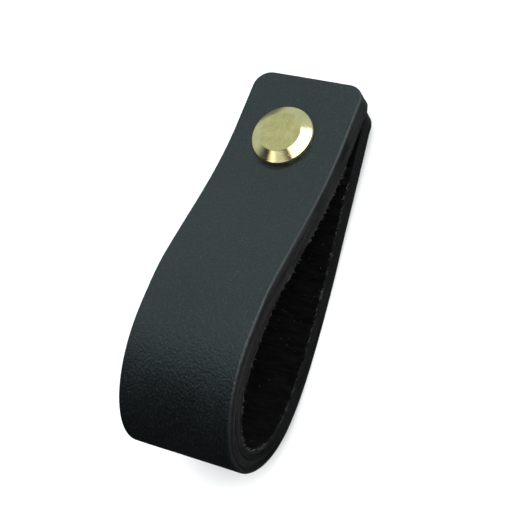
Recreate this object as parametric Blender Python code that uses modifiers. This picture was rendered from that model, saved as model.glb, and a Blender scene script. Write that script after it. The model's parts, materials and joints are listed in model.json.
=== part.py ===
"""Leather loop: one strap folded into a teardrop, its two rounded ends clamped by a brass post and screw.

The loop lies on its back, on the rear screw's head and on the swell of its rear leg. +X runs across the strap's
width, +Y along it towards the clamped ends, and +Z up, on the side that shows the brass cap. The origin is the
middle of the footprint.
"""

import math

import bmesh
import bpy
from mathutils import Vector

MM = 0.001

# Strap
WIDTH = 25.0 * MM
THICK = 4.7 * MM
CORNER_RADIUS = 3.7 * MM
CORNER_STEPS = 6
ARRIS_RADIUS = 0.5 * MM
ARRIS_ANGLE = 40
SLIVER = 0.06 * MM
STATION_STEP = 1.24 * MM
LEAST_STATIONS = 3
GAP = 0.3 * MM

# Centreline of the folded strap, measured from the screw's axis: u towards the bend, v towards the rear.
# v = 0 is the back of two layers laid flat on each other.
FRONT_V = -1.5 * THICK
REAR_V = -0.5 * THICK + 0.05 * MM
FRONT_END_U = -14.2 * MM
REAR_END_U = -13.0 * MM
# Each knot: u, v, heading in degrees from +u, handle back, handle ahead
KNOTS = (
    (-1.0 * MM, FRONT_V, 0.0, 0.0, 10.7 * MM),
    (26.5 * MM, -12.0 * MM, -14.4, 8.1 * MM, 7.8 * MM),
    (43.6 * MM, -14.3 * MM, 0.0, 8.1 * MM, 12.6 * MM),
    (64.1 * MM, -0.1 * MM, 90.0, 6.9 * MM, 5.3 * MM),
    (49.0 * MM, 12.8 * MM, 180.0, 10.5 * MM, 11.2 * MM),
    (16.0 * MM, 5.8 * MM, 200.0, 6.4 * MM, 7.1 * MM),
    (-5.7 * MM, -1.3 * MM, 200.0, 7.0 * MM, 2.2 * MM),
    (-10.4 * MM, REAR_V, 180.0, 2.2 * MM, 0.0),
)

# Where the strap bends when the loop is swayed: a hinge axis between the legs, and the round split about it
SWAY_U = 9.0 * MM
SWAY_V = -2.0 * MM
SPLIT_RADIUS = 14.0 * MM

# The punched holes sit a little to one side of the strap's middle
HOLE_ACROSS = -1.0 * MM

# Brass post: a flat cap with a wide bevel, and a barrel with a blind bore
CAP_RADIUS = 6.65 * MM
CAP_FLAT_RADIUS = 4.45 * MM
CAP_HEIGHT = 1.95 * MM
CAP_RIM_HEIGHT = 0.55 * MM
CAP_EDGE = 0.2 * MM
BARREL_RADIUS = 2.5 * MM
BARREL_LENGTH = 11.2 * MM
BORE_RADIUS = 2.05 * MM
BORE_DEPTH = 8.4 * MM
RUNNING_GAP = 0.1 * MM

# Rear screw
HEAD_RADIUS = 4.75 * MM
HEAD_THICK = 1.8 * MM
HEAD_EDGE = 0.4 * MM
HEAD_SEAT_V = 2.6 * MM
SHANK_RADIUS = 1.95 * MM
SHANK_LENGTH = 7.6 * MM
SLOT_WIDTH = 1.2 * MM
SLOT_DEPTH = 0.8 * MM

TURN_STEPS = 64
SPLIT_STEPS = 96
SHARP_ANGLE = 25
CUTTER_REACH = 20 * MM


def clear_scene():
    for obj in list(bpy.data.objects):
        bpy.data.objects.remove(obj, do_unlink=True)
    for collection in list(bpy.data.collections):
        bpy.data.collections.remove(collection)


def new_collection(name):
    collection = bpy.data.collections.new(name)
    bpy.context.scene.collection.children.link(collection)
    return collection


def principled(name, colour, roughness, metallic):
    material = bpy.data.materials.new(name)
    material.use_nodes = True
    shader = material.node_tree.nodes["Principled BSDF"]
    shader.inputs["Base Color"].default_value = (*colour, 1.0)
    shader.inputs["Roughness"].default_value = roughness
    shader.inputs["Metallic"].default_value = metallic
    material.diffuse_color = (*colour, 1.0)
    return material


def place(u, v, across=0.0):
    """A point of the strap's side view, as a point of the pieces' common frame before they are laid down."""
    return Vector((across, -u, -v))


def heading(degrees):
    angle = math.radians(degrees)
    return Vector((math.cos(angle), math.sin(angle)))


def bezier(first, second, fraction):
    """Point on the curve between two knots."""
    start, end = Vector(first[:2]), Vector(second[:2])
    ahead = start + heading(first[2]) * first[4]
    back = end - heading(second[2]) * second[3]
    rest = 1 - fraction
    return (
        start * rest**3
        + ahead * (3 * rest**2 * fraction)
        + back * (3 * rest * fraction**2)
        + end * fraction**3
    )


def centreline():
    """Points of the folded strap from the front knot to the rear one, about STATION_STEP apart."""
    points = [Vector(KNOTS[0][:2])]
    for first, second in zip(KNOTS, KNOTS[1:]):
        chord = (Vector(second[:2]) - Vector(first[:2])).length
        count = max(LEAST_STATIONS, round(chord / STATION_STEP))
        points += [bezier(first, second, (i + 1) / count) for i in range(count)]
    return points


def rounded_end(tip_u, v):
    """Stations of a strap's end with its rounded corners, from the tip inwards: (point, half width)."""
    stations = []
    for i in range(CORNER_STEPS + 1):
        angle = math.radians(90) * i / CORNER_STEPS
        along = CORNER_RADIUS * (1 - math.cos(angle))
        half = WIDTH / 2 - CORNER_RADIUS * (1 - math.sin(angle))
        stations.append((Vector((tip_u + along, v)), half))
    return stations


def leather_ribbon(name, stations):
    """Open sheet across the strap's width through the stations."""
    mesh = bmesh.new()
    rows = []
    for point, half in stations:
        rows.append([mesh.verts.new(place(point.x, point.y, side * half)) for side in (-1, 1)])
    for first, second in zip(rows, rows[1:]):
        mesh.faces.new((first[0], first[1], second[1], second[0]))
    data = bpy.data.meshes.new(name)
    mesh.to_mesh(data)
    mesh.free()
    return bpy.data.objects.new(name, data)


def shade_round(obj):
    """Replaces the object's mesh with its evaluated one, smooth but for its real corners."""
    bpy.context.view_layer.update()
    graph = bpy.context.evaluated_depsgraph_get()
    data = bpy.data.meshes.new_from_object(obj.evaluated_get(graph))
    obj.modifiers.clear()
    obj.data = data
    data.shade_smooth()
    data.set_sharp_from_angle(angle=math.radians(SHARP_ANGLE))


def strap_piece(name, stations, material, parts, cutters):
    """The ribbon thickened to leather, its arrises rounded, then cut."""
    obj = leather_ribbon(name, stations)
    obj.data.materials.append(material)
    parts.objects.link(obj)
    solidify = obj.modifiers.new("thickness", "SOLIDIFY")
    solidify.thickness = THICK
    solidify.offset = 0
    bevel = obj.modifiers.new("arrises", "BEVEL")
    bevel.width = ARRIS_RADIUS
    bevel.segments = 2
    bevel.limit_method = "ANGLE"
    bevel.angle_limit = math.radians(ARRIS_ANGLE)
    weld = obj.modifiers.new("slivers", "WELD")
    weld.merge_threshold = SLIVER
    for operation, cutter in cutters:
        cut = obj.modifiers.new(cutter.name, "BOOLEAN")
        cut.operation = operation
        cut.object = cutter
    shade_round(obj)
    return obj


def as_cutter(obj, helpers):
    obj.hide_render = True
    obj.display_type = "WIRE"
    helpers.objects.link(obj)
    return obj


def cylinder(name, radius, length, sides=TURN_STEPS):
    """Closed cylinder along local Z, from 0 to its length."""
    mesh = bmesh.new()
    bmesh.ops.create_cone(
        mesh, cap_ends=True, segments=sides, radius1=radius, radius2=radius, depth=length
    )
    bmesh.ops.translate(mesh, verts=mesh.verts, vec=(0, 0, length / 2))
    data = bpy.data.meshes.new(name)
    mesh.to_mesh(data)
    mesh.free()
    return bpy.data.objects.new(name, data)


def hole_cutter(name, radius, from_v, length, helpers):
    """Cylinder on the screw's axis, from from_v towards the rear."""
    obj = as_cutter(cylinder(name, radius, length), helpers)
    obj.location = place(0, from_v, HOLE_ACROSS)
    obj.rotation_euler = (math.radians(180), 0, 0)
    return obj


def sway_disc(name, radius, helpers):
    """Cylinder about the sway axis, through the whole width."""
    obj = as_cutter(cylinder(name, radius, 2 * WIDTH, SPLIT_STEPS), helpers)
    obj.location = place(SWAY_U, SWAY_V, -WIDTH)
    obj.rotation_euler = (0, math.radians(90), 0)
    return obj


def sway_bullet(name, radius, helpers):
    """Prism round the clamped ends: straight sides, and a half round nose about the sway axis."""
    nose = SPLIT_STEPS // 2
    straight = SWAY_U - FRONT_END_U + CUTTER_REACH
    angles = [math.radians(-90 + 180 * i / nose) for i in range(nose + 1)]
    outline = [(-straight, -radius)]
    outline += [(radius * math.cos(a), radius * math.sin(a)) for a in angles]
    outline += [(-straight, radius)]
    mesh = bmesh.new()
    base = mesh.faces.new(
        [mesh.verts.new(place(SWAY_U + u, SWAY_V + v, -WIDTH)) for u, v in outline]
    )
    grown = bmesh.ops.extrude_face_region(mesh, geom=[base])
    top = [item for item in grown["geom"] if isinstance(item, bmesh.types.BMVert)]
    bmesh.ops.translate(mesh, verts=top, vec=(2 * WIDTH, 0, 0))
    bmesh.ops.recalc_face_normals(mesh, faces=mesh.faces)
    data = bpy.data.meshes.new(name)
    mesh.to_mesh(data)
    mesh.free()
    return as_cutter(bpy.data.objects.new(name, data), helpers)


def turned(name, profile, material, parts):
    """Solid of revolution about local Z. Its outline runs from the top of the axis down the outer side."""
    mesh = bmesh.new()
    verts = [mesh.verts.new((radius, 0, height)) for radius, height in profile]
    for first, second in zip(verts, verts[1:]):
        mesh.edges.new((first, second))
    data = bpy.data.meshes.new(name)
    mesh.to_mesh(data)
    mesh.free()
    obj = bpy.data.objects.new(name, data)
    obj.data.materials.append(material)
    parts.objects.link(obj)
    screw = obj.modifiers.new("turning", "SCREW")
    screw.steps = TURN_STEPS
    screw.render_steps = TURN_STEPS
    screw.use_merge_vertices = True
    screw.merge_threshold = 0.01 * MM
    return obj


def arc(centre, radius, start, end, steps):
    """Points of a rounded corner in a turned outline, angles in degrees from +r towards +height."""
    angles = [math.radians(start + (end - start) * i / steps) for i in range(steps + 1)]
    return [(centre[0] + radius * math.cos(a), centre[1] + radius * math.sin(a)) for a in angles]


def build_strap(parts, helpers):
    leather = principled("black_leather", (0.022, 0.024, 0.027), 0.55, 0.0)
    line = centreline()
    full = WIDTH / 2
    post_hole = hole_cutter(
        "post_hole", BARREL_RADIUS + RUNNING_GAP, -CUTTER_REACH, 2 * CUTTER_REACH, helpers
    )
    cap_seat = hole_cutter(
        "cap_seat", CAP_RADIUS + RUNNING_GAP, -2 * THICK - CUTTER_REACH, CUTTER_REACH, helpers
    )
    head_seat = hole_cutter(
        "head_seat", HEAD_RADIUS + GAP, HEAD_SEAT_V - RUNNING_GAP, CUTTER_REACH, helpers
    )
    clamped_zone = sway_bullet("clamped_zone", SPLIT_RADIUS - GAP / 2, helpers)
    sway_zone = sway_disc("sway_zone", SPLIT_RADIUS + GAP / 2, helpers)

    bend = max(range(len(line)), key=lambda i: line[i].x)
    past_split = SWAY_U + SPLIT_RADIUS + THICK
    front_leg = [(point, full) for point in line[:bend] if point.x < past_split]
    rear_tip = rounded_end(REAR_END_U, REAR_V)
    behind = [point for point in line[bend:] if rear_tip[-1][0].x + ARRIS_RADIUS < point.x]
    rear_leg = [(point, full) for point in behind if point.x < past_split]
    bow = [(point, full) for point in line if point.x > SWAY_U]

    front_cuts = [("INTERSECT", clamped_zone), ("DIFFERENCE", post_hole), ("DIFFERENCE", cap_seat)]
    rear_cuts = [("INTERSECT", clamped_zone), ("DIFFERENCE", post_hole), ("DIFFERENCE", head_seat)]
    front = rounded_end(FRONT_END_U, FRONT_V) + front_leg
    strap_piece("strap_front_end", front, leather, parts, front_cuts)
    strap_piece("strap_rear_end", rear_leg + rear_tip[::-1], leather, parts, rear_cuts)
    strap_piece("strap_loop", bow, leather, parts, [("DIFFERENCE", sway_zone)])


def build_post(parts):
    """Cap and barrel in one turned piece, cap towards the front."""
    brass = principled("polished_brass", (0.72, 0.62, 0.30), 0.22, 1.0)
    seat = RUNNING_GAP
    top = seat + CAP_HEIGHT
    rim = seat + CAP_RIM_HEIGHT
    end = seat - BARREL_LENGTH
    profile = [
        (0, top),
        (CAP_FLAT_RADIUS, top),
        *arc((CAP_RADIUS - CAP_EDGE, rim - CAP_EDGE), CAP_EDGE, 60, 0, 3),
        *arc((CAP_RADIUS - CAP_EDGE, seat + CAP_EDGE), CAP_EDGE, 0, -90, 3),
        (BARREL_RADIUS, seat),
        (BARREL_RADIUS, end),
        (BORE_RADIUS, end),
        (BORE_RADIUS, end + BORE_DEPTH),
        (0, end + BORE_DEPTH),
    ]
    obj = turned("cap_post", profile, brass, parts)
    obj.location = place(0, -2 * THICK, HOLE_ACROSS)
    shade_round(obj)


def slot_cutter(helpers):
    """Bar across the screw's head, along the strap's width."""
    mesh = bmesh.new()
    bmesh.ops.create_cube(mesh, size=1)
    bmesh.ops.scale(mesh, verts=mesh.verts, vec=(3 * HEAD_RADIUS, SLOT_WIDTH, 2 * SLOT_DEPTH))
    data = bpy.data.meshes.new("slot_cutter")
    mesh.to_mesh(data)
    mesh.free()
    obj = as_cutter(bpy.data.objects.new("slot_cutter", data), helpers)
    obj.location = place(0, HEAD_SEAT_V + HEAD_THICK, HOLE_ACROSS)
    return obj


def build_screw(parts, helpers):
    """Flat slotted head towards the rear, plain shank in the post's bore."""
    brass = principled("screw_brass", (0.66, 0.56, 0.28), 0.32, 1.0)
    profile = [
        (0, HEAD_THICK),
        *arc((HEAD_RADIUS - HEAD_EDGE, HEAD_THICK - HEAD_EDGE), HEAD_EDGE, 90, 0, 4),
        (HEAD_RADIUS, 0),
        (SHANK_RADIUS, 0),
        (SHANK_RADIUS, HEAD_EDGE - SHANK_LENGTH),
        (SHANK_RADIUS - HEAD_EDGE, -SHANK_LENGTH),
        (0, -SHANK_LENGTH),
    ]
    obj = turned("rear_screw", profile, brass, parts)
    obj.location = place(0, HEAD_SEAT_V, HOLE_ACROSS)
    obj.rotation_euler = (math.radians(180), 0, 0)
    cut = obj.modifiers.new("slot", "BOOLEAN")
    cut.operation = "DIFFERENCE"
    cut.object = slot_cutter(helpers)
    shade_round(obj)


def resting_tilt():
    """Angle between the strap's side view and the floor: a line from the screw's head to the rear leg's swell."""
    head = Vector((HEAD_EDGE - HEAD_RADIUS, HEAD_SEAT_V + HEAD_THICK))
    line = centreline()
    slopes = []
    for before, point, after in zip(line, line[1:], line[2:]):
        along = (after - before).normalized()
        outside = point + Vector((along.y, -along.x)) * THICK / 2
        if outside.x > SWAY_U + SPLIT_RADIUS:
            slopes.append(math.atan2(outside.y - head.y, outside.x - head.x))
    return max(slopes)


def lay_down(parts):
    """Tilts the loop on to its back and puts the middle of its footprint at the origin."""
    table = bpy.data.objects.new("lying_on_its_back", None)
    parts.objects.link(table)
    table.rotation_euler = (-resting_tilt(), 0, 0)
    pieces = [obj for obj in parts.objects if obj.type == "MESH"]
    for obj in pieces:
        obj.parent = table
    bpy.context.view_layer.update()
    corners = [obj.matrix_world @ vert.co for obj in pieces for vert in obj.data.vertices]
    low = [min(corner[axis] for corner in corners) for axis in range(3)]
    high = [max(corner[axis] for corner in corners) for axis in range(3)]
    table.location = (-(low[0] + high[0]) / 2, -(low[1] + high[1]) / 2, -low[2])


def main():
    clear_scene()
    parts = new_collection("leather_loop")
    helpers = new_collection("cutters")
    build_strap(parts, helpers)
    build_post(parts)
    build_screw(parts, helpers)
    lay_down(parts)


main()
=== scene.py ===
"""Looks of the leather loop: a folded strap with its grain, cut edge and flesh side, a brass cap and a screw.

Lengths are in millimetres until a mesh is made. The strap's side view has its own axes: u from the screw's
axis towards the bend, v from the front to the rear, and a across the width.
"""

import json
import math

import bpy
import numpy as np
from mathutils import Matrix, Vector


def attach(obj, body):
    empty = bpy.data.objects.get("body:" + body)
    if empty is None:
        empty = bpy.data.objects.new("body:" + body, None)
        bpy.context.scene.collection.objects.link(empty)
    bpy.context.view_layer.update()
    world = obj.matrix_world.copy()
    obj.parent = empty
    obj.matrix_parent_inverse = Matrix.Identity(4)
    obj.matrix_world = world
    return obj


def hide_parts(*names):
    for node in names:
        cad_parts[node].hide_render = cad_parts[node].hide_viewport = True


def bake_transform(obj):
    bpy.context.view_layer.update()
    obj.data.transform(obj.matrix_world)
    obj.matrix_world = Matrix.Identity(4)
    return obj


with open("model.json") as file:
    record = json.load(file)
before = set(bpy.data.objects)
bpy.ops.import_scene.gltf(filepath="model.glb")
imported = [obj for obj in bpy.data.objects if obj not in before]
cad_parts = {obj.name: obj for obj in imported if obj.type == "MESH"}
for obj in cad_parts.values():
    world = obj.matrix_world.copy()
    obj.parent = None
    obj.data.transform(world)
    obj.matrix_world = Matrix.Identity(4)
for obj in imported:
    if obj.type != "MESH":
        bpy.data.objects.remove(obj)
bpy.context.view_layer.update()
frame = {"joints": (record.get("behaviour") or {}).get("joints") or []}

MM = 0.001

# Strap, as the CAD has it
WIDTH = 25.0
THICK = 4.7
CORNER_RADIUS = 3.7
FRONT_V = -1.5 * THICK
REAR_V = -0.5 * THICK + 0.05
FRONT_END_U = -14.2
REAR_END_U = -13.0
# Each knot: u, v, heading in degrees from +u, handle back, handle ahead
KNOTS = (
    (-1.0, FRONT_V, 0.0, 0.0, 10.7),
    (26.5, -12.0, -14.4, 8.1, 7.8),
    (43.6, -14.3, 0.0, 8.1, 12.6),
    (64.1, -0.1, 90.0, 6.9, 5.3),
    (49.0, 12.8, 180.0, 10.5, 11.2),
    (16.0, 5.8, 200.0, 6.4, 7.1),
    (-5.7, -1.3, 200.0, 7.0, 2.2),
    (-10.4, REAR_V, 180.0, 2.2, 0.0),
)
CURVE_STEPS = 60

# Strap's mesh
COLUMNS = 76
CORNER_ROWS = 18
ROW_STEP = 0.36
FACE_INSET = 1.6
GRAIN_ARRIS = 0.5
FLESH_ARRIS = 0.28
WALL_LOOPS = 14
HOLE_HALF_WIDTH = 2.65
FRONT_HOLE_HALF_LENGTH = 2.65
REAR_HOLE_HALF_LENGTH = 3.45
GRAIN, EDGE, FLESH = range(3)

# Brass
CAP_RADIUS = 6.65
CAP_FLAT_RADIUS = 4.45
CAP_HEIGHT = 1.95
CAP_RIM_HEIGHT = 0.55
CAP_SEAT_V = -2 * THICK - 0.1
BARREL_RADIUS = 2.5
BARREL_LENGTH = 11.2
BORE_RADIUS = 2.05
BORE_DEPTH = 8.4
HEAD_RADIUS = 4.75
HEAD_THICK = 1.8
HEAD_SEAT_V = 2.6
SHANK_RADIUS = 1.95
SHANK_LENGTH = 7.6
THREAD_PITCH = 0.7
THREAD_DEPTH = 0.28
SLOT_WIDTH = 1.2
SLOT_DEPTH = 0.8
TURN_STEPS = 256
SCREW_TURN_STEPS = 128
THREAD_ROWS = 150
HEAD_CROWN = 0.16

# Relief of the leather's surfaces, and the distances along the strap where its creases fade in and out
WAVE_HEIGHT = 0.045
CREASE_DEPTH = 0.035
CREASES_FADE_IN = (62, 74)
CREASES_FADE_OUT = (112, 126)
CELL_HEIGHT = 0.010
STREAK_HEIGHT = 0.085
CLUMP_HEIGHT = 0.07
RAGGED_HEIGHT = 0.12
PRESS_DEPTH = 0.06
PRESS_RING_DEPTH = 0.05

# Painted shade on the cut edge: the shares of the strap's length between which it darkens, and how much
REAR_PAINTED_SHADE_FROM = 0.42
REAR_PAINTED_SHADE_FULL = 0.56
REAR_PAINTED_SHADE = 0.72

# Heights of the materials' bumps, in metres
GRAIN_BUMP = 0.00014
EDGE_BUMP = 0.00024
FLESH_BUMP = 0.0006
BRASS_BUMP = 0.0001

# Loose fibres
FIBRE_SEED = 5
FIBRE_COUNT = 2600
FIBRE_END_GAP = 16
LONGEST_FIBRE = 0.7

# Camera, in the side view's axes u, v and a
CAMERA_AT = (104.4, -239.8, 125.5)
CAMERA_LOOKS_AT = (23.2, 0.0, -1.5)
CAMERA_UP = (-0.889, -0.410, -0.205)
CAMERA_LENS = 97.3
SENSOR = 36.0

# Floor, sky and lights, in metres
FLOOR_HALF = 1.6
FLOOR_CELLS = 24
SKY_DIRECTION = (-0.35, 0.93, 0.11)
SKY_DARK_AT, SKY_BRIGHT_AT = -0.02, 0.34
SKY_DARK, SKY_BRIGHT = 0.015, 0.62
SKY_COLOUR = (0.84, 0.97, 1.03)
LIGHT_AIM = Vector((0.0, 0.0, 0.015))
LIGHT_DISTANCE = 0.75
CEILING_DISTANCE = 0.9

screw_joint = next(j for j in frame["joints"] if j["name"] == "screw_turn")
AXIS_POINT = Vector((0.0, *screw_joint["pos_m"][1:]))
HOLE_ACROSS = screw_joint["pos_m"][0] / MM
FRONT = -Vector(screw_joint["axis"]).normalized()
ALONG = Vector((0.0, -FRONT.z, FRONT.y))
ACROSS = Vector((1.0, 0.0, 0.0))


def place(u, v, a=0.0):
    """A point of the side view, in the frame, in metres."""
    return AXIS_POINT + (ALONG * u - FRONT * v + ACROSS * a) * MM


def place_all(u, v, a):
    """Arrays of side-view points, in the frame, in metres."""
    axes = np.array([ALONG, -FRONT, ACROSS]) * MM
    return np.stack([u, v, a], axis=-1) @ axes + np.array(AXIS_POINT)


# ---------------------------------------------------------------- noise


def hashed(x, y, z, seed):
    """Repeatable value from -1 to 1 at each whole-number point."""
    mixed = (
        x.astype(np.uint64) * np.uint64(374761393)
        + y.astype(np.uint64) * np.uint64(668265263)
        + z.astype(np.uint64) * np.uint64(1440662683)
        + np.uint64(seed * 1013904223)
    ) & np.uint64(0xFFFFFFFF)
    mixed = ((mixed ^ (mixed >> np.uint64(15))) * np.uint64(2246822519)) & np.uint64(0xFFFFFFFF)
    mixed = ((mixed ^ (mixed >> np.uint64(13))) * np.uint64(3266489917)) & np.uint64(0xFFFFFFFF)
    mixed ^= mixed >> np.uint64(16)
    return mixed.astype(np.float64) / 2147483647.5 - 1


def noise(x, y, z=0.0, seed=1):
    """Smooth noise from -1 to 1 with features one unit across."""
    x, y, z = np.broadcast_arrays(*(np.asarray(c, float) + 4096.0 for c in (x, y, z)))
    cells = [np.floor(c).astype(np.int64) for c in (x, y, z)]
    parts = [c - cell for c, cell in zip((x, y, z), cells)]
    eased = [p * p * (3 - 2 * p) for p in parts]
    total = np.zeros_like(x)
    for corner in range(8):
        steps = [corner >> axis & 1 for axis in range(3)]
        weight = np.ones_like(x)
        for step, part in zip(steps, eased):
            weight = weight * (part if step else 1 - part)
        total += weight * hashed(*(cell + step for cell, step in zip(cells, steps)), seed)
    return total


def layered_noise(x, y, z=0.0, seed=1, octaves=3):
    """Noise with finer, weaker noise laid over it."""
    total, scale, strength = 0.0, 1.0, 1.0
    for octave in range(octaves):
        total = total + strength * noise(x * scale, y * scale, np.asarray(z) * scale, seed + octave)
        scale, strength = scale * 2.1, strength * 0.5
    return total


def smooth(value, low, high):
    """0 below low, 1 above high, eased between."""
    share = np.clip((value - low) / (high - low), 0, 1)
    return share * share * (3 - 2 * share)


# ---------------------------------------------------------------- strap's centreline


def bezier_points(first, second):
    """Points of one stretch between two knots, without its first point."""
    start, end = np.array(first[:2]), np.array(second[:2])
    turn_out, turn_in = math.radians(first[2]), math.radians(second[2])
    ahead = start + first[4] * np.array([math.cos(turn_out), math.sin(turn_out)])
    back = end - second[3] * np.array([math.cos(turn_in), math.sin(turn_in)])
    share = (np.arange(CURVE_STEPS) + 1)[:, None] / CURVE_STEPS
    rest = 1 - share
    return (
        start * rest**3
        + ahead * 3 * rest**2 * share
        + back * 3 * rest * share**2
        + end * share**3
    )


def centreline():
    """(distance, u, v, heading) along the strap, from the front tip to the rear tip."""
    stretches = [np.array([[FRONT_END_U, FRONT_V], KNOTS[0][:2]])]
    stretches += [bezier_points(first, second) for first, second in zip(KNOTS, KNOTS[1:])]
    stretches.append(np.array([[REAR_END_U, REAR_V]]))
    points = np.concatenate(stretches)
    steps = np.diff(points, axis=0)
    distance = np.concatenate([[0], np.cumsum(np.hypot(steps[:, 0], steps[:, 1]))])
    slopes = np.gradient(points, distance, axis=0)
    heading = np.unwrap(np.arctan2(slopes[:, 1], slopes[:, 0]))
    return distance, points[:, 0], points[:, 1], heading


LINE_S, LINE_U, LINE_V, LINE_HEADING = centreline()
LENGTH = LINE_S[-1]
REAR_HALF = LINE_S > LENGTH / 2
FRONT_HOLE_S = -FRONT_END_U
REAR_HOLE_S = float(np.interp(0, -LINE_U[REAR_HALF], LINE_S[REAR_HALF]))


def fold(s, t, depth):
    """Side-view arrays of points given along, across and out of the flat strap's middle."""
    heading = np.interp(s, LINE_S, LINE_HEADING)
    u = np.interp(s, LINE_S, LINE_U) + np.sin(heading) * depth
    v = np.interp(s, LINE_S, LINE_V) - np.cos(heading) * depth
    return u, v, t


# ---------------------------------------------------------------- strap's surface relief


def grain_relief(s, t):
    """Height of the grain side over its mean, with slow waves, fine creases in the bend and grain cells."""
    waves = WAVE_HEIGHT * layered_noise(s / 9, t / 7, seed=3, octaves=2)
    bend = smooth(s, *CREASES_FADE_IN) * (1 - smooth(s, *CREASES_FADE_OUT))
    tilted_s, tilted_t = 0.86 * s + 0.5 * t, 0.86 * t - 0.5 * s
    creases = 1 - np.abs(noise(tilted_s / 0.9, tilted_t / 5.5, seed=11))
    creases = creases**6 * (0.4 + 0.6 * noise(s / 6, t / 4, seed=13) ** 2)
    cells = noise(s / 0.75, t / 0.75, seed=17) * noise(s / 1.6, t / 1.3, seed=19)
    return waves - CREASE_DEPTH * bend * creases + CELL_HEIGHT * cells


def flesh_relief(s, t):
    """Napped flesh side: streaks of fibre across the width, and loose clumps."""
    streaks = STREAK_HEIGHT * layered_noise(s / 0.85, t / 5.0, seed=23, octaves=2)
    clumps = CLUMP_HEIGHT * layered_noise(s / 2.4, t / 2.8, seed=29, octaves=3)
    return streaks + clumps


def edge_relief(s, t, depth):
    """Cut edge: the layers of the hide stand out by a hair, more loosely towards the flesh side."""
    loose = smooth(-depth, -0.6, THICK / 2)
    layers = noise(s / 7, t / 7, depth / 0.42, seed=31)
    fibres = layered_noise(s / 0.8, t / 0.8, depth / 0.35, seed=37, octaves=2)
    return (0.035 + 0.05 * loose) * layers + (0.012 + 0.045 * loose) * fibres


# ---------------------------------------------------------------- strap's mesh


def planform(inset):
    """(distance along, half width) of each row of the strap's flat outline, drawn in by inset."""
    radius = CORNER_RADIUS - inset
    turn = np.radians(90) * np.arange(CORNER_ROWS + 1) / CORNER_ROWS
    along = CORNER_RADIUS - radius * np.cos(turn)
    half = WIDTH / 2 - CORNER_RADIUS + radius * np.sin(turn)
    straight = LENGTH - 2 * CORNER_RADIUS
    count = round(straight / ROW_STEP)
    middle = CORNER_RADIUS + straight * np.arange(1, count) / count
    s = np.concatenate([along, middle, LENGTH - along[::-1]])
    halves = np.concatenate([half, np.full(count - 1, half[-1]), half[::-1]])
    return s, halves


def flat_grid(inset):
    """(distance along, distance across) of a grid over the flat strap, drawn in by inset."""
    s, half = planform(inset)
    share = np.linspace(-1, 1, COLUMNS + 1)
    return np.repeat(s[:, None], COLUMNS + 1, axis=1), half[:, None] * share[None, :]


def outline(grid):
    """The values round the rim of a grid, once round."""
    return np.concatenate([grid[0, :-1], grid[:-1, -1], grid[-1, :0:-1], grid[:0:-1, 0]])


def edge_profile():
    """(inset, depth, zone) of each loop round the strap's edge, from the grain side to the flesh side."""
    top, bottom = THICK / 2, -THICK / 2
    loops = [(inset, top, GRAIN) for inset in (1.25, 0.95, 0.72)]
    for degrees in (0, 18, 36, 54, 72):
        turn = math.radians(degrees)
        inset = GRAIN_ARRIS * (1 - math.sin(turn))
        loops.append((inset, top - GRAIN_ARRIS * (1 - math.cos(turn)), GRAIN))
    wall = np.linspace(top - GRAIN_ARRIS, bottom + FLESH_ARRIS, WALL_LOOPS)
    loops += [(0.0, float(depth), EDGE) for depth in wall]
    for degrees in (30, 60, 90):
        turn = math.radians(degrees)
        inset = FLESH_ARRIS * (1 - math.cos(turn))
        loops.append((inset, bottom + FLESH_ARRIS * (1 - math.sin(turn)), FLESH))
    loops += [(inset, bottom, FLESH) for inset in (0.5, 0.8, 1.2)]
    return loops


def punch(s, t, centre, half_length):
    """Snaps the rim of a hole to its oval. Returns which cells it removes."""
    middle_s = (s[:-1, :-1] + s[1:, 1:]) / 2 - centre
    middle_t = (t[:-1, :-1] + t[1:, 1:]) / 2 - HOLE_ACROSS
    gone = np.hypot(middle_s / half_length, middle_t / HOLE_HALF_WIDTH) < 1
    touched = np.zeros(s.shape, bool)
    kept = np.zeros(s.shape, bool)
    for down in (0, 1):
        for right in (0, 1):
            rows = slice(down, s.shape[0] - 1 + down)
            columns = slice(right, s.shape[1] - 1 + right)
            touched[rows, columns] |= gone
            kept[rows, columns] |= ~gone
    rim = touched & kept
    reach = np.hypot((s[rim] - centre) / half_length, (t[rim] - HOLE_ACROSS) / HOLE_HALF_WIDTH)
    s[rim] = centre + (s[rim] - centre) / reach
    t[rim] = HOLE_ACROSS + (t[rim] - HOLE_ACROSS) / reach
    return gone, touched & ~kept


def hole_walls(gone, grain_index, flesh_index):
    """Quads between the two faces round the removed cells."""
    quads = []
    rows, columns = gone.shape
    for i, j in zip(*np.nonzero(gone)):
        corners = ((i, j), (i + 1, j), (i + 1, j + 1), (i, j + 1))
        neighbours = ((i, j - 1), (i + 1, j), (i, j + 1), (i - 1, j))
        for k, (row, column) in enumerate(neighbours):
            if 0 <= row < rows and 0 <= column < columns and gone[row, column]:
                continue
            first, second = corners[k], corners[(k + 1) % 4]
            quads.append((grain_index[first], grain_index[second], flesh_index[second], flesh_index[first]))
    return quads


def press(u, v, a, zone_front, zone_rear):
    """The cap presses the front layer's face flat, and the screw's head sinks into the rear layer's."""
    reach = np.hypot(u, a - HOLE_ACROSS)
    under_cap = zone_front * (1 - smooth(reach, CAP_RADIUS - 0.1, CAP_RADIUS + 1.8))
    v = v + under_cap * (np.maximum(v, CAP_SEAT_V + PRESS_DEPTH) - v)
    ring = np.exp(-(((reach - CAP_RADIUS - 0.15) / 0.35) ** 2)) * zone_front
    v = v + PRESS_RING_DEPTH * ring
    under_head = zone_rear * (1 - smooth(reach, HEAD_RADIUS + 0.2, HEAD_RADIUS + 1.2))
    return v + under_head * (np.minimum(v, HEAD_SEAT_V - PRESS_DEPTH) - v)


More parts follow.
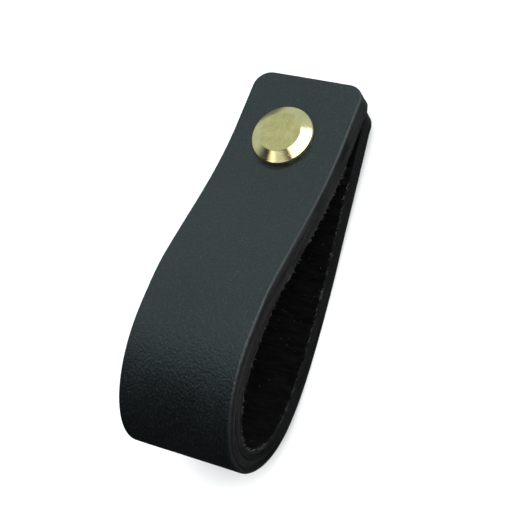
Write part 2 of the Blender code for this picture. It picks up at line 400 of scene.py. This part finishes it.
def strap_mesh():
    """The folded strap's points, faces, zones, places on the flat strap and nearness to its edge."""
    s, t = flat_grid(FACE_INSET)
    front_gone, front_lost = punch(s, t, FRONT_HOLE_S, FRONT_HOLE_HALF_LENGTH)
    rear_gone, rear_lost = punch(s, t, REAR_HOLE_S, REAR_HOLE_HALF_LENGTH)
    gone, lost = front_gone | rear_gone, front_lost | rear_lost

    loops = edge_profile()
    grid_size = s.size
    grain_index = np.arange(grid_size).reshape(s.shape)
    flesh_index = grain_index + grid_size
    all_s, all_t = [s.ravel(), s.ravel()], [t.ravel(), t.ravel()]
    all_d = [np.full(grid_size, THICK / 2), np.full(grid_size, -THICK / 2)]
    rings, start = [outline(grain_index)], 2 * grid_size
    out_s, out_t = [np.zeros(2 * grid_size)], [np.zeros(2 * grid_size)]
    share = [np.zeros(2 * grid_size)]
    rim = outline(np.stack(flat_grid(0.0), axis=-1))
    inner = outline(np.stack(flat_grid(CORNER_RADIUS / 2), axis=-1))
    away = (rim - inner) / np.linalg.norm(rim - inner, axis=1, keepdims=True)
    for inset, depth, _ in loops:
        grid_s, grid_t = flat_grid(inset)
        ring_s, ring_t = outline(grid_s), outline(grid_t)
        all_s.append(ring_s)
        all_t.append(ring_t)
        all_d.append(np.full(len(ring_s), depth))
        out_s.append(away[:, 0])
        out_t.append(away[:, 1])
        share.append(np.full(len(ring_s), 1 - min(1.0, inset / GRAIN_ARRIS)))
        rings.append(np.arange(start, start + len(ring_s)))
        start += len(ring_s)
    rings.append(outline(flesh_index))
    s, t, d, out_s, out_t, share = (
        np.concatenate(c) for c in (all_s, all_t, all_d, out_s, out_t, share)
    )

    bulge = edge_relief(s, t, d) * share
    flat = np.stack([s, t, d], axis=-1)
    grain_side = smooth(d, THICK / 2 - GRAIN_ARRIS, THICK / 2)
    flesh_side = smooth(-d, THICK / 2 - FLESH_ARRIS, THICK / 2)
    depth = d + grain_side * (1 - share) * grain_relief(s, t) + flesh_side * flesh_relief(s, t)
    ragged = RAGGED_HEIGHT * flesh_side * share * layered_noise(s / 1.1, t / 1.1, seed=41, octaves=2)
    u, v, a = fold(s + out_s * (bulge + ragged), t + out_t * (bulge + ragged), depth)
    v = press(u, v, a, grain_side * (s < LENGTH / 2), grain_side * (s > LENGTH / 2))

    index = np.arange(grid_size).reshape(gone.shape[0] + 1, gone.shape[1] + 1)
    cells = np.stack([index[:-1, :-1], index[1:, :-1], index[1:, 1:], index[:-1, 1:]], axis=-1)[~gone]
    faces = [cells, cells[:, ::-1] + grid_size]
    zones = [np.full(len(cells), GRAIN), np.full(len(cells), FLESH)]
    ring_zones = [GRAIN] + [zone for _, _, zone in loops]
    for first, second, zone in zip(rings, rings[1:], ring_zones):
        following, under = np.roll(first, -1), np.roll(second, -1)
        faces.append(np.stack([first, following, under, second], axis=-1))
        zones.append(np.full(len(first), zone))
    walls = np.array(hole_walls(gone, index, index + grid_size))
    faces.append(walls)
    zones.append(np.full(len(walls), EDGE))
    faces, zones = np.concatenate(faces), np.concatenate(zones)

    used = np.ones(len(s), bool)
    used[:grid_size] = used[grid_size : 2 * grid_size] = ~lost.ravel()
    renumber = np.cumsum(used) - 1
    points = place_all(u, v, a)[used]
    return points, renumber[faces], zones, flat[used], share[used]


def mesh_object(name, points, faces, materials, zones=None):
    """Mesh from points in metres, in the scene. zones gives each face's material."""
    data = bpy.data.meshes.new(name)
    data.from_pydata(points.tolist(), [], [list(face) for face in faces])
    for material in materials:
        data.materials.append(material)
    if zones is not None:
        data.polygons.foreach_set("material_index", np.asarray(zones, np.int32))
    data.shade_smooth()
    data.update()
    obj = bpy.data.objects.new(name, data)
    bpy.context.scene.collection.objects.link(obj)
    return obj


def store_flat(obj, flat):
    """Keeps where each point lies on the flat strap, in mm, for the materials."""
    attribute = obj.data.attributes.new("flat", "FLOAT_VECTOR", "POINT")
    attribute.data.foreach_set("vector", flat.astype(np.float32).ravel())


def store_edge_share(obj, values):
    """Keeps how near each point is to the strap's edge, from 0 to 1, for the materials."""
    attribute = obj.data.attributes.new("edge_share", "FLOAT", "POINT")
    attribute.data.foreach_set("value", values.astype(np.float32))


# ---------------------------------------------------------------- loose fibres


def fibres_mesh():
    """Short tapered hairs on the flesh side's arrises and nap: points, faces and places on the flat strap."""
    random = np.random.default_rng(FIBRE_SEED)
    points, faces, flats = [], [], []
    stations, sides = 4, 3
    for _ in range(FIBRE_COUNT):
        s = random.uniform(FIBRE_END_GAP, LENGTH - FIBRE_END_GAP)
        side = random.choice((-1, 1))
        on_edge = random.random() < 0.8
        inward = abs(random.normal(0, 0.12)) if on_edge else random.uniform(0.3, 9)
        t = side * (WIDTH / 2 - 0.06 - inward)
        depth = -THICK / 2 + (random.uniform(-0.05, 0.35) if on_edge and inward < 0.1 else 0.02)
        length = random.gamma(2.2, 0.22) if on_edge else random.gamma(2.0, 0.14)
        length = min(length, LONGEST_FIBRE)
        radius = random.uniform(0.012, 0.03)
        lean = np.array([random.normal(0, 0.9), side * random.uniform(-0.2, 0.9), -random.uniform(0.2, 1.0)])
        lean /= np.linalg.norm(lean)
        curl = np.array([random.normal(0, 1), random.normal(0, 1), random.normal(0, 0.4)]) * 0.2
        first = np.cross(lean, (0.3, 0.5, 0.8))
        first /= np.linalg.norm(first)
        second = np.cross(lean, first)
        base = len(points)
        for station in range(stations):
            share = station / (stations - 1)
            centre = np.array([s, t, depth]) + lean * length * share + curl * length * share**2
            if station == stations - 1:
                points.append(centre)
                flats.append((s, t, depth))
                continue
            thick = radius * (1 - 0.8 * share)
            for k in range(sides):
                turn = 2 * math.pi * k / sides
                points.append(centre + thick * (first * math.cos(turn) + second * math.sin(turn)))
                flats.append((s, t, depth))
        faces.append([base + k for k in range(sides)])
        for station in range(stations - 2):
            low = base + station * sides
            for k in range(sides):
                across = (k + 1) % sides
                faces.append([low + k, low + sides + k, low + sides + across, low + across])
        low, tip = base + (stations - 2) * sides, base + (stations - 1) * sides
        faces += [[low + k, tip, low + (k + 1) % sides] for k in range(sides)]
    points = np.array(points)
    faces = [corners[::-1] for corners in faces]
    return place_all(*fold(points[:, 0], points[:, 1], points[:, 2])), faces, np.array(flats)


# ---------------------------------------------------------------- turned brass


def turned_grid(profile, steps):
    """Points of a turned outline about the screw's axis: side-view arrays of shape (outline, steps)."""
    radius = np.array([point[0] for point in profile])[:, None]
    height = np.array([point[1] for point in profile])[:, None]
    turn = 2 * np.pi * np.arange(steps)[None, :] / steps
    u = radius * np.cos(turn)
    a = radius * np.sin(turn)
    return u, -height * np.ones_like(turn), a


def turned_faces(rows, steps):
    """Quads between rows of a turned grid, and a fan at each end, which are points on the axis."""
    index = np.arange(rows * steps).reshape(rows, steps)
    following = np.roll(index, -1, axis=1)
    quads = np.stack([index[:-1], following[:-1], following[1:], index[1:]], axis=-1).reshape(-1, 4)
    top, bottom = rows * steps, rows * steps + 1
    faces = quads.tolist()
    faces += [[top, int(following[0, k]), int(index[0, k])] for k in range(steps)]
    faces += [[bottom, int(index[-1, k]), int(following[-1, k])] for k in range(steps)]
    return faces


def turned_object(name, grid, ends, materials, zones):
    """Closed turned piece. ends are the heights at which it meets the axis, and zones holds one per row."""
    u, v, a = grid
    rows, steps = u.shape
    points = place_all(u.ravel(), v.ravel(), a.ravel() + HOLE_ACROSS)
    tips = np.array([place(0, -end, HOLE_ACROSS) for end in ends])
    faces = turned_faces(rows, steps)
    runs_to_rear = ends[0] > ends[1]
    if runs_to_rear:
        faces = [corners[::-1] for corners in faces]
    face_zones = np.repeat(zones[:-1], steps).tolist()
    face_zones += [zones[0]] * steps + [zones[-1]] * steps
    return mesh_object(name, np.concatenate([points, tips]), faces, materials, face_zones)


def arc(centre, radius, start, end, steps):
    """Points of a rounded corner in an outline, angles in degrees from +r towards the front."""
    turns = np.radians(np.linspace(start, end, steps + 1))
    return [(centre[0] + radius * math.cos(x), centre[1] + radius * math.sin(x)) for x in turns]


def pits(u, v, a):
    """Shallow casting pits and grinding marks on the cap's flat face."""
    reach = np.hypot(u, a)
    face = 1 - smooth(reach, CAP_FLAT_RADIUS - 0.5, CAP_FLAT_RADIUS - 0.12)
    face = face * (v < CAP_SEAT_V - CAP_HEIGHT + 0.05)
    spots = np.maximum(noise(u / 0.16, a / 0.16, seed=43) - 0.46, 0)
    patches = smooth(layered_noise(u / 1.6, a / 1.6, seed=47, octaves=2), -0.5, 0.5)
    waves = layered_noise(u / 1.3, a / 1.3, seed=53, octaves=2)
    return face * (0.055 * spots * patches + 0.008 * waves)


def build_cap(materials):
    """Cap and barrel in one piece: pitted flat, rounded brink, polished bevel, thin rim."""
    base = -CAP_SEAT_V
    top, rim = base + CAP_HEIGHT, base + CAP_RIM_HEIGHT
    brink, lip = 0.22, 0.2
    flat = [(radius, top) for radius in np.linspace(0.05, CAP_FLAT_RADIUS - 0.16, 84)]
    slope = math.degrees(math.atan2(CAP_RADIUS - CAP_FLAT_RADIUS, CAP_HEIGHT - CAP_RIM_HEIGHT))
    rounded = arc((CAP_FLAT_RADIUS - 0.1, top - brink), brink, 90, slope, 5)
    foot = (CAP_RADIUS - 0.02, rim)
    start = rounded[-1]
    bevel = [
        (start[0] + (foot[0] - start[0]) * x, start[1] + (foot[1] - start[1]) * x)
        for x in np.linspace(0.08, 0.97, 14)
    ]
    edge = arc((CAP_RADIUS - lip, rim - lip - 0.02), lip, slope - 4, -20, 6)
    edge += arc((CAP_RADIUS - 0.15, base + 0.15), 0.15, 0, -90, 4)
    under = [(BARREL_RADIUS + 0.25, base), (BARREL_RADIUS, base - 0.25)]
    end = base - BARREL_LENGTH
    barrel = [(BARREL_RADIUS, height) for height in np.linspace(base - 0.6, end + 0.3, 8)]
    barrel += arc((BARREL_RADIUS - 0.2, end + 0.2), 0.2, 0, -90, 3)
    bore = [(BORE_RADIUS + 0.12, end), (BORE_RADIUS, end + 0.15), (BORE_RADIUS, end + BORE_DEPTH)]
    profile = flat + rounded + bevel + edge + under + barrel + bore
    zones = [0] * len(flat) + [1] * (len(profile) - len(flat))
    u, v, a = turned_grid(profile, TURN_STEPS)
    grid = (u, v + pits(u, v, a), a)
    return turned_object("brass_cap_post", grid, (top, end + BORE_DEPTH), materials, zones)


def build_screw(material):
    """Slotted pan head and threaded shank."""
    face = -HEAD_SEAT_V
    far = face - HEAD_THICK
    head = []
    for radius in np.linspace(0.1, HEAD_RADIUS - 0.45, 36):
        head.append((radius, far + HEAD_CROWN * (radius / HEAD_RADIUS) ** 2))
    head += arc((HEAD_RADIUS - 0.4, far + 0.4), 0.4, -86, 0, 7)
    head += arc((HEAD_RADIUS - 0.15, face - 0.15), 0.15, 0, 90, 3)
    shank_top = face + SHANK_LENGTH
    core = SHANK_RADIUS - THREAD_DEPTH
    shank = [(core, face)]
    heights = np.linspace(face + 0.05, shank_top - 0.25, THREAD_ROWS)
    shank += [(core, height) for height in heights]
    shank += [(core - 0.25, shank_top)]
    profile = head + shank
    first_thread = len(head) + 1

    u, v, a = turned_grid(profile, SCREW_TURN_STEPS)
    turn = 2 * np.pi * np.arange(SCREW_TURN_STEPS)[None, :] / SCREW_TURN_STEPS
    rows = slice(first_thread, first_thread + THREAD_ROWS)
    phase = (heights[:, None] / THREAD_PITCH + turn / (2 * np.pi)) % 1
    crest = np.clip(1.7 * (1 - np.abs(2 * phase - 1)) - 0.25, 0, 1)
    fade = smooth(heights, face + 0.2, face + 0.9) * (1 - smooth(heights, shank_top - 1.0, shank_top - 0.3))
    radius = core + THREAD_DEPTH * crest * fade[:, None]
    u[rows], a[rows] = radius * np.cos(turn), radius * np.sin(turn)
    on_face = v > -far - 0.6
    in_slot = (1 - smooth(np.abs(u), SLOT_WIDTH / 2 - 0.06, SLOT_WIDTH / 2 + 0.06)) * on_face
    v = v - in_slot * np.maximum(v - (-far - SLOT_DEPTH), 0)
    ends = (far + SLOT_DEPTH, shank_top)
    return turned_object("brass_rear_screw", (u, v, a), ends, [material], [0] * len(profile))


# ---------------------------------------------------------------- materials


class Nodes:
    """Short names for building one material's node tree."""

    def __init__(self, name):
        self.material = bpy.data.materials.new(name)
        self.material.use_nodes = True
        self.tree = self.material.node_tree
        self.shader = self.tree.nodes["Principled BSDF"]

    def add(self, kind, inputs=(), **settings):
        node = self.tree.nodes.new(kind)
        for name, value in settings.items():
            setattr(node, name, value)
        for name, value in dict(inputs).items():
            if isinstance(value, bpy.types.NodeSocket):
                self.tree.links.new(value, node.inputs[name])
            else:
                node.inputs[name].default_value = value
        return node

    def set(self, **values):
        for name, value in values.items():
            socket = self.shader.inputs[name.replace("_", " ")]
            if isinstance(value, bpy.types.NodeSocket):
                self.tree.links.new(value, socket)
            else:
                socket.default_value = value

    def flat(self, scale=(1, 1, 1)):
        """Places on the flat strap, stretched."""
        source = self.add("ShaderNodeAttribute", attribute_name="flat")
        inputs = {"Vector": source.outputs["Vector"], "Scale": scale}
        return self.add("ShaderNodeMapping", inputs).outputs["Vector"]

    def noise(self, vector, scale, detail=3.0, roughness=0.5):
        inputs = {"Vector": vector, "Scale": scale, "Detail": detail, "Roughness": roughness}
        return self.add("ShaderNodeTexNoise", inputs).outputs["Fac"]

    def cells(self, vector, scale, feature="F1"):
        return self.add(
            "ShaderNodeTexVoronoi", {"Vector": vector, "Scale": scale}, feature=feature
        ).outputs["Distance"]

    def spread(self, value, low, high, to_low=0.0, to_high=1.0):
        inputs = {"Value": value, "From Min": low, "From Max": high}
        inputs.update({"To Min": to_low, "To Max": to_high})
        return self.add("ShaderNodeMapRange", inputs).outputs["Result"]

    def mix(self, share, first, second):
        node = self.add("ShaderNodeMix", {"Factor": share}, data_type="RGBA")
        for name, value in (("A", first), ("B", second)):
            socket = next(i for i in node.inputs if i.name == name and i.type == "RGBA")
            if isinstance(value, bpy.types.NodeSocket):
                self.tree.links.new(value, socket)
            else:
                socket.default_value = (*value, 1.0)
        return next(o for o in node.outputs if o.type == "RGBA")

    def math(self, operation, first, second):
        node = self.add("ShaderNodeMath", operation=operation)
        for socket, value in zip(node.inputs, (first, second)):
            if isinstance(value, bpy.types.NodeSocket):
                self.tree.links.new(value, socket)
            else:
                socket.default_value = value
        return node.outputs["Value"]

    def bump(self, height, strength, distance):
        inputs = {"Height": height, "Strength": strength, "Distance": distance}
        return self.add("ShaderNodeBump", inputs).outputs["Normal"]


def grain_material():
    """Smooth dyed grain: near black, slightly blue and satin, with small irregular pebbles and pores."""
    nodes = Nodes("leather_grain")
    place_flat = nodes.flat()
    fine = nodes.noise(place_flat, 2.6, detail=4.0, roughness=0.62)
    broad = nodes.noise(place_flat, 0.09, detail=3.0)
    pebbles = nodes.cells(place_flat, 2.0, feature="SMOOTH_F1")
    pores = nodes.cells(place_flat, 1.15)
    edge = nodes.add("ShaderNodeAttribute", attribute_name="edge_share").outputs["Fac"]

    tone = nodes.mix(nodes.spread(broad, 0.3, 0.7), (0.0020, 0.0024, 0.0026), (0.0032, 0.0037, 0.0040))
    speck = nodes.spread(fine, 0.54, 0.70, 0.0, 0.6)
    tone = nodes.mix(speck, tone, (0.022, 0.026, 0.027))
    tone = nodes.mix(nodes.spread(edge, 0.0, 1.0, 0.0, 0.6), tone, (0.012, 0.012, 0.012))
    rough = nodes.spread(fine, 0.3, 0.75, 0.30, 0.46)
    rough = nodes.math("ADD", rough, nodes.spread(broad, 0.3, 0.7, -0.03, 0.03))
    rough = nodes.math("ADD", rough, nodes.spread(edge, 0.0, 1.0, 0.0, 0.24))
    height = nodes.math("ADD", nodes.math("MULTIPLY", pebbles, 0.7), nodes.math("MULTIPLY", fine, 0.9))
    pin = nodes.spread(pores, 0.0, 0.16, -0.35, 0.0)
    height = nodes.math("ADD", height, pin)
    normal = nodes.bump(height, 0.8, GRAIN_BUMP)
    nodes.set(Base_Color=tone, Roughness=rough, Normal=normal)
    nodes.set(IOR=1.68, Specular_Tint=(0.84, 1.0, 1.0, 1.0))
    return nodes.material


def edge_material():
    """Cut and dyed edge: the hide's layers in a dull, slightly waxed black, with painted shade darkening it
    along the rear leg.
    """
    nodes = Nodes("leather_cut_edge")
    layers = nodes.noise(nodes.flat((0.10, 0.10, 2.6)), 1.0, detail=4.0, roughness=0.6)
    fibres = nodes.noise(nodes.flat((1.6, 1.6, 3.4)), 1.0, detail=4.0, roughness=0.65)
    tone = nodes.mix(nodes.spread(layers, 0.38, 0.62), (0.002, 0.002, 0.002), (0.019, 0.0187, 0.018))
    tone = nodes.mix(nodes.spread(fibres, 0.56, 0.74, 0.0, 0.7), tone, (0.046, 0.044, 0.042))
    along = nodes.add("ShaderNodeSeparateXYZ", {"Vector": nodes.flat()}).outputs["X"]
    # painted shade: the edge's colour fades towards black along the rear leg
    darker = nodes.spread(along, LENGTH * REAR_PAINTED_SHADE_FROM, LENGTH * REAR_PAINTED_SHADE_FULL, 0.0, REAR_PAINTED_SHADE)
    tone = nodes.mix(darker, tone, (0.001, 0.001, 0.001))
    rough = nodes.spread(layers, 0.3, 0.7, 0.52, 0.72)
    height = nodes.math("ADD", layers, nodes.math("MULTIPLY", fibres, 0.7))
    nodes.set(Base_Color=tone, Roughness=rough, Normal=nodes.bump(height, 0.8, EDGE_BUMP))
    nodes.set(Specular_IOR_Level=0.3)
    return nodes.material


def flesh_material():
    """Napped flesh side: dead black suede in streaks across the width."""
    nodes = Nodes("leather_flesh")
    streaks = nodes.noise(nodes.flat((1.5, 0.22, 1.0)), 1.0, detail=5.0, roughness=0.7)
    nap = nodes.noise(nodes.flat(), 3.2, detail=4.0, roughness=0.7)
    tone = nodes.mix(nodes.spread(streaks, 0.35, 0.72), (0.0004, 0.0004, 0.0004), (0.0065, 0.0064, 0.0062))
    tone = nodes.mix(nodes.spread(nap, 0.62, 0.8, 0.0, 0.5), tone, (0.012, 0.0115, 0.011))
    height = nodes.math("ADD", streaks, nap)
    nodes.set(Base_Color=tone, Roughness=0.93, Normal=nodes.bump(height, 1.0, FLESH_BUMP))
    nodes.set(Specular_IOR_Level=0.08)
    return nodes.material


def fibre_material():
    """Loose hide fibres, greyer than the dyed faces."""
    nodes = Nodes("leather_fibre")
    shade = nodes.noise(nodes.flat(), 0.8, detail=2.0)
    tone = nodes.mix(nodes.spread(shade, 0.35, 0.7), (0.05, 0.05, 0.05), (0.34, 0.33, 0.32))
    nodes.set(Base_Color=tone, Roughness=0.8, Specular_IOR_Level=0.2)
    return nodes.material


def brass_material(name, colour, dark, low, high, bump):
    """Yellow brass with faint tarnish, fine pits and turning marks."""
    nodes = Nodes(name)
    source = nodes.add("ShaderNodeTexCoord").outputs["Object"]
    millimetres = nodes.add("ShaderNodeMapping", {"Vector": source, "Scale": (1000, 1000, 1000)})
    spot = millimetres.outputs["Vector"]
    patches = nodes.noise(spot, 0.55, detail=4.0, roughness=0.6)
    grit = nodes.noise(spot, 2.9, detail=3.0, roughness=0.6)
    tone = nodes.mix(nodes.spread(patches, 0.35, 0.7), colour, dark)
    rough = nodes.spread(grit, 0.35, 0.75, low, high)
    nodes.set(Base_Color=tone, Roughness=rough, Metallic=1.0)
    nodes.set(Normal=nodes.bump(grit, bump, BRASS_BUMP))
    return nodes.material


# ---------------------------------------------------------------- pieces


def build_strap():
    """Strap and its loose fibres, folded from the clamped ends round the loop."""
    materials = [grain_material(), edge_material(), flesh_material()]
    points, faces, zones, flat, share = strap_mesh()
    strap = mesh_object("leather_strap", points, faces, materials, zones)
    store_flat(strap, flat)
    store_edge_share(strap, share)
    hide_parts("strap_front_end", "strap_rear_end", "strap_loop")

    points, faces, flats = fibres_mesh()
    fuzz = mesh_object("leather_fibres", points, faces, [fibre_material()])
    store_flat(fuzz, flats)
    for piece in (strap, fuzz):
        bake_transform(piece)


def build_brass():
    """Cap with its barrel, and the rear screw."""
    face = brass_material("cap_face_brass", (0.86, 0.76, 0.32), (0.66, 0.58, 0.25), 0.22, 0.44, 0.9)
    bevel = brass_material("cap_bevel_brass", (0.90, 0.80, 0.42), (0.76, 0.68, 0.34), 0.13, 0.24, 0.06)
    cap = build_cap([face, bevel])
    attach(cap, "post")
    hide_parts("cap_post")

    turned_brass = brass_material("screw_brass", (0.80, 0.72, 0.42), (0.62, 0.54, 0.30), 0.20, 0.36, 0.15)
    screw = build_screw(turned_brass)
    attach(screw, "screw")
    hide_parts("rear_screw")
    return cap, screw


# ---------------------------------------------------------------- stage, light and camera


def floor_object():
    """Large pale level floor."""
    reach = FLOOR_HALF * np.linspace(-1, 1, FLOOR_CELLS + 1)
    x, y = np.meshgrid(reach, reach, indexing="ij")
    points = np.stack([x, y, np.zeros_like(x)], axis=-1).reshape(-1, 3)
    index = np.arange(len(points)).reshape(FLOOR_CELLS + 1, FLOOR_CELLS + 1)
    cells = np.stack([index[:-1, :-1], index[1:, :-1], index[1:, 1:], index[:-1, 1:]], axis=-1)
    nodes = Nodes("pale_floor")
    nodes.set(Base_Color=(0.88, 0.88, 0.88, 1.0), Roughness=0.9, Specular_IOR_Level=0.1)
    floor = mesh_object("floor", points, cells.reshape(-1, 4), [nodes.material])
    floor.visible_glossy = False


def softbox(name, direction, long_axis, distance, size, power):
    """Rectangular light aimed at the middle of the loop, its second side along long_axis."""
    light = bpy.data.lights.new(name, "AREA")
    light.shape = "RECTANGLE"
    light.size, light.size_y = size
    light.energy = power
    lamp = bpy.data.objects.new(name, light)
    bpy.context.scene.collection.objects.link(lamp)
    away = Vector(direction).normalized()
    sideways = Vector(long_axis).cross(away).normalized()
    turn = Matrix((sideways, away.cross(sideways), away)).transposed().to_4x4()
    lamp.matrix_world = Matrix.Translation(LIGHT_AIM + away * distance) @ turn
    return lamp


def build_world():
    """Soft sky, brightest above the clamped ends and falling to dark beyond the bend."""
    world = bpy.data.worlds.new("studio")
    world.use_nodes = True
    tree = world.node_tree
    source = tree.nodes.new("ShaderNodeTexCoord")
    toward = tree.nodes.new("ShaderNodeVectorMath")
    toward.operation = "DOT_PRODUCT"
    toward.inputs[1].default_value = SKY_DIRECTION
    ramp = tree.nodes.new("ShaderNodeMapRange")
    ramp.interpolation_type = "SMOOTHSTEP"
    ramp.inputs["From Min"].default_value = SKY_DARK_AT
    ramp.inputs["From Max"].default_value = SKY_BRIGHT_AT
    ramp.inputs["To Min"].default_value = SKY_DARK
    ramp.inputs["To Max"].default_value = SKY_BRIGHT
    tree.links.new(source.outputs["Generated"], toward.inputs[0])
    tree.links.new(toward.outputs["Value"], ramp.inputs["Value"])
    background = tree.nodes["Background"]
    background.inputs["Color"].default_value = (*SKY_COLOUR, 1.0)
    tree.links.new(ramp.outputs["Result"], background.inputs["Strength"])
    bpy.context.scene.world = world


def build_light(brass):
    """Tall window at one side, an overhead light kept out of reflections, and two fills on the brass alone."""
    softbox("window_box", (0.53, 0.36, 0.77), (0.05, 0.88, -0.47), LIGHT_DISTANCE, (0.50, 1.05), 4.2)
    left = ((-0.45, -0.46, 0.77), (0.75, -0.66, 0.0))
    middle = ((-0.08, -0.50, 0.86), (1.0, 0.0, 0.0))
    fill = softbox("fill_box", *left, LIGHT_DISTANCE, (0.22, 0.20), 0.16)
    low_fill = softbox("low_fill_box", *middle, LIGHT_DISTANCE, (0.30, 0.62), 0.46)
    brass_only = bpy.data.collections.new("brass_only")
    for piece in brass:
        brass_only.objects.link(piece)
    for lamp in (fill, low_fill):
        lamp.light_linking.receiver_collection = brass_only
    ceiling = softbox("ceiling", (0.0, 0.0, 1.0), (0.0, 1.0, 0.0), CEILING_DISTANCE, (1.8, 1.8), 22.0)
    ceiling.visible_glossy = False
    build_world()


def build_camera():
    """Camera where the photograph was taken from, by the object's perspective."""
    camera = bpy.data.cameras.new("camera")
    camera.lens = CAMERA_LENS
    camera.sensor_width = SENSOR
    camera.clip_start = 0.01
    obj = bpy.data.objects.new("camera", camera)
    bpy.context.scene.collection.objects.link(obj)
    at, target = place(*CAMERA_AT), place(*CAMERA_LOOKS_AT)
    hint = ALONG * CAMERA_UP[0] - FRONT * CAMERA_UP[1] + ACROSS * CAMERA_UP[2]
    back = (at - target).normalized()
    right = hint.cross(back).normalized()
    up = back.cross(right)
    turn = Matrix((right, up, back)).transposed().to_4x4()
    obj.matrix_world = Matrix.Translation(at) @ turn
    bpy.context.scene.camera = obj


bpy.context.scene.view_settings.view_transform = "Standard"
build_camera()
build_strap()
brass_pieces = build_brass()
floor_object()
build_light(brass_pieces)
